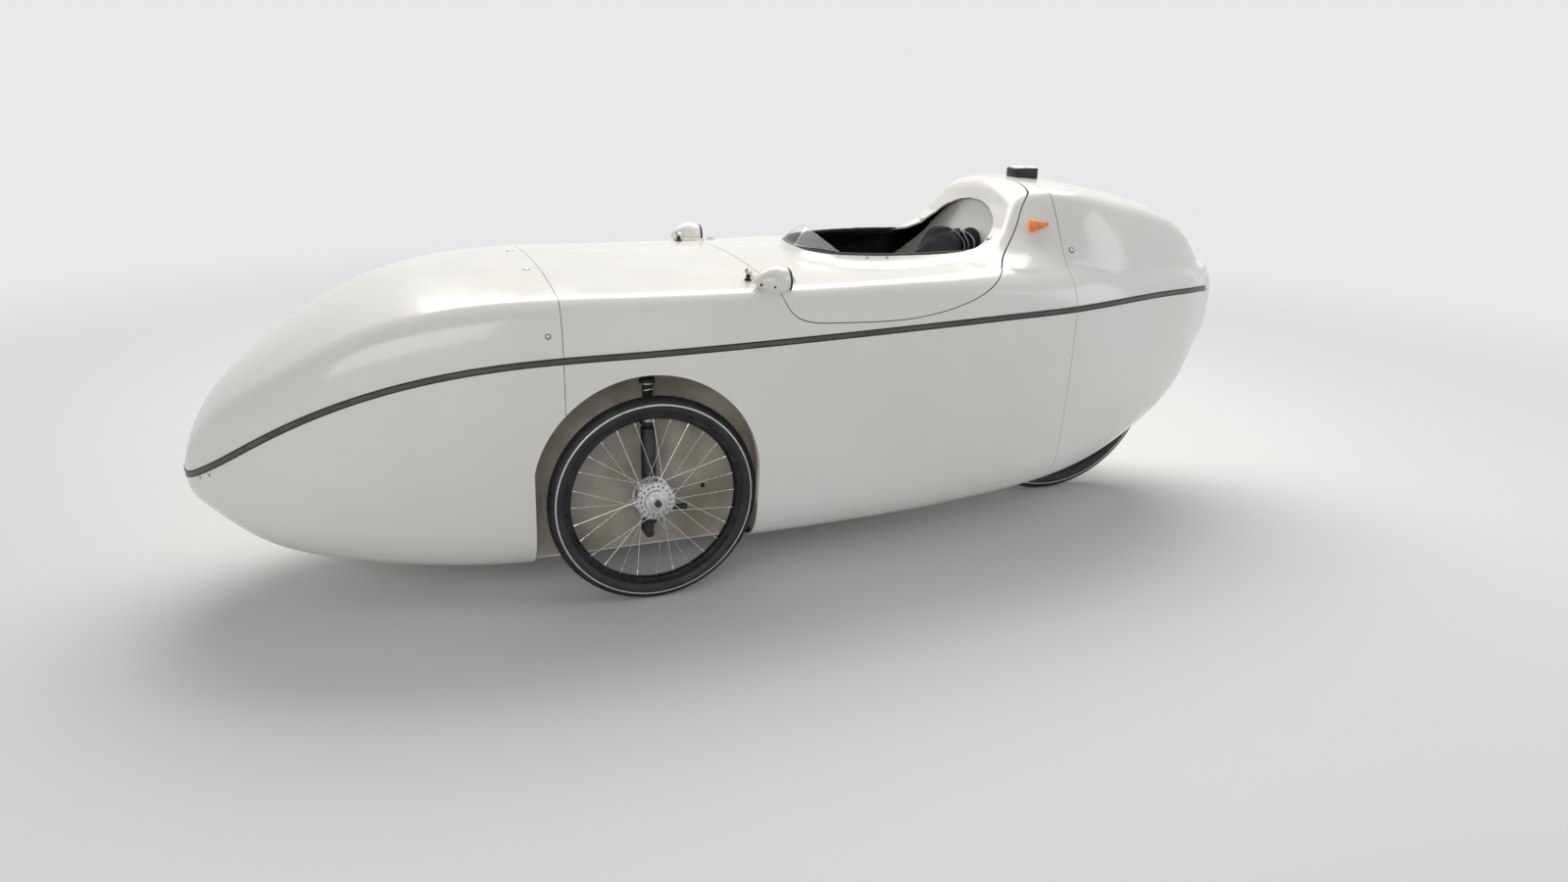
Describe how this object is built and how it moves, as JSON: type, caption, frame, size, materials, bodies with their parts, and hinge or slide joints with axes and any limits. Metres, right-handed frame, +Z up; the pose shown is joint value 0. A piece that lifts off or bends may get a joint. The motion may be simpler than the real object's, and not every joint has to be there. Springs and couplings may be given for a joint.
{
  "type": "velomobile",
  "caption": "Low streamlined human-powered tricycle with a glossy white shell, an open cockpit with a headrest fairing, and steered front wheels in arches.",
  "frame": {"origin": "on the ground under the middle of the length", "axes": "+X forward to the nose, +Y to the left side, +Z up"},
  "size_m": [2.739, 0.7928, 0.9339],
  "materials": {
    "shell": "glossy white gelcoat",
    "tyre": "matt",
    "black_alloy": "black anodised",
    "aluminium": "machined",
    "spoke_steel": "bright",
    "mirror": "polished",
    "amber_lens": "clear amber",
    "red_lens": "clear red",
    "clear_lens": "clear",
    "clear_screen": "clear sheet",
    "black_fabric": "woven cover",
    "dark_metal": "black paint",
    "rubber": "matt",
    "strip": "matt brown-black",
    "black_plastic": "satin"
  },
  "bodies": {
    "shell": {"centre_lower": "shell", "centre_upper": "shell", "front_subframe": "dark_metal", "head_pads": "black_fabric", "headlight": "clear_lens", "hinge_post_left": "dark_metal", "hinge_post_right": "dark_metal", "indicator_left": "amber_lens", "indicator_right": "amber_lens", "nose_lower": "shell", "nose_upper": "shell", "rear_fork": "dark_metal", "rear_wheel_box": "shell", "roof_lamp": "black_plastic", "seam_strip": "strip", "seat_back_panel": "shell", "seat_cushion": "black_fabric", "seat_shell": "black_plastic", "strut_left": "dark_metal", "strut_right": "dark_metal", "tail_light": "red_lens", "tail_lower": "shell", "tail_upper": "shell", "wheel_well_left": "shell", "wheel_well_right": "shell"},
    "hatch": {"cockpit_trim": "rubber", "hatch": "shell", "hinge_arm_left": "dark_metal", "hinge_arm_right": "dark_metal", "mirror_glass_left": "mirror", "mirror_glass_right": "mirror", "mirror_left": "shell", "mirror_right": "shell", "windscreen": "clear_screen"},
    "steer_left": {"knuckle_left": "dark_metal"},
    "steer_right": {"knuckle_right": "dark_metal"},
    "wheel_left": {"hub_left": "aluminium", "rim_left": "black_alloy", "spokes_left": "spoke_steel", "tyre_left": "tyre"},
    "wheel_right": {"hub_right": "aluminium", "rim_right": "black_alloy", "spokes_right": "spoke_steel", "tyre_right": "tyre"},
    "wheel_rear": {"hub_rear": "aluminium", "rim_rear": "black_alloy", "spokes_rear": "spoke_steel", "tyre_rear": "tyre"}
  },
  "joints": [
    {"name": "hatch_hinge", "type": "hinge", "parent": "shell", "child": "hatch", "pos_m": [0.136, 0, 0.744], "axis": [0, 1, 0], "range_deg": [0, 70]},
    {"name": "steer_left", "type": "hinge", "parent": "shell", "child": "steer_left", "pos_m": [0.375, 0.288, 0.243], "axis": [0, 0, 1], "range_deg": [-12, 12]},
    {"name": "steer_right", "type": "hinge", "parent": "shell", "child": "steer_right", "pos_m": [0.375, -0.288, 0.243], "axis": [0, 0, 1], "range_deg": [-12, 12]},
    {"name": "wheel_left_spin", "type": "hinge", "parent": "steer_left", "child": "wheel_left", "pos_m": [0.375, 0.335, 0.243], "axis": [0, 1, 0], "continuous": true},
    {"name": "wheel_right_spin", "type": "hinge", "parent": "steer_right", "child": "wheel_right", "pos_m": [0.375, -0.335, 0.243], "axis": [0, 1, 0], "continuous": true},
    {"name": "wheel_rear_spin", "type": "hinge", "parent": "shell", "child": "wheel_rear", "pos_m": [-0.905, 0, 0.328], "axis": [0, 1, 0], "continuous": true}
  ],
  "couplings": [
    {"joint": "steer_right", "follows": "steer_left", "ratio": 1}
  ]
}
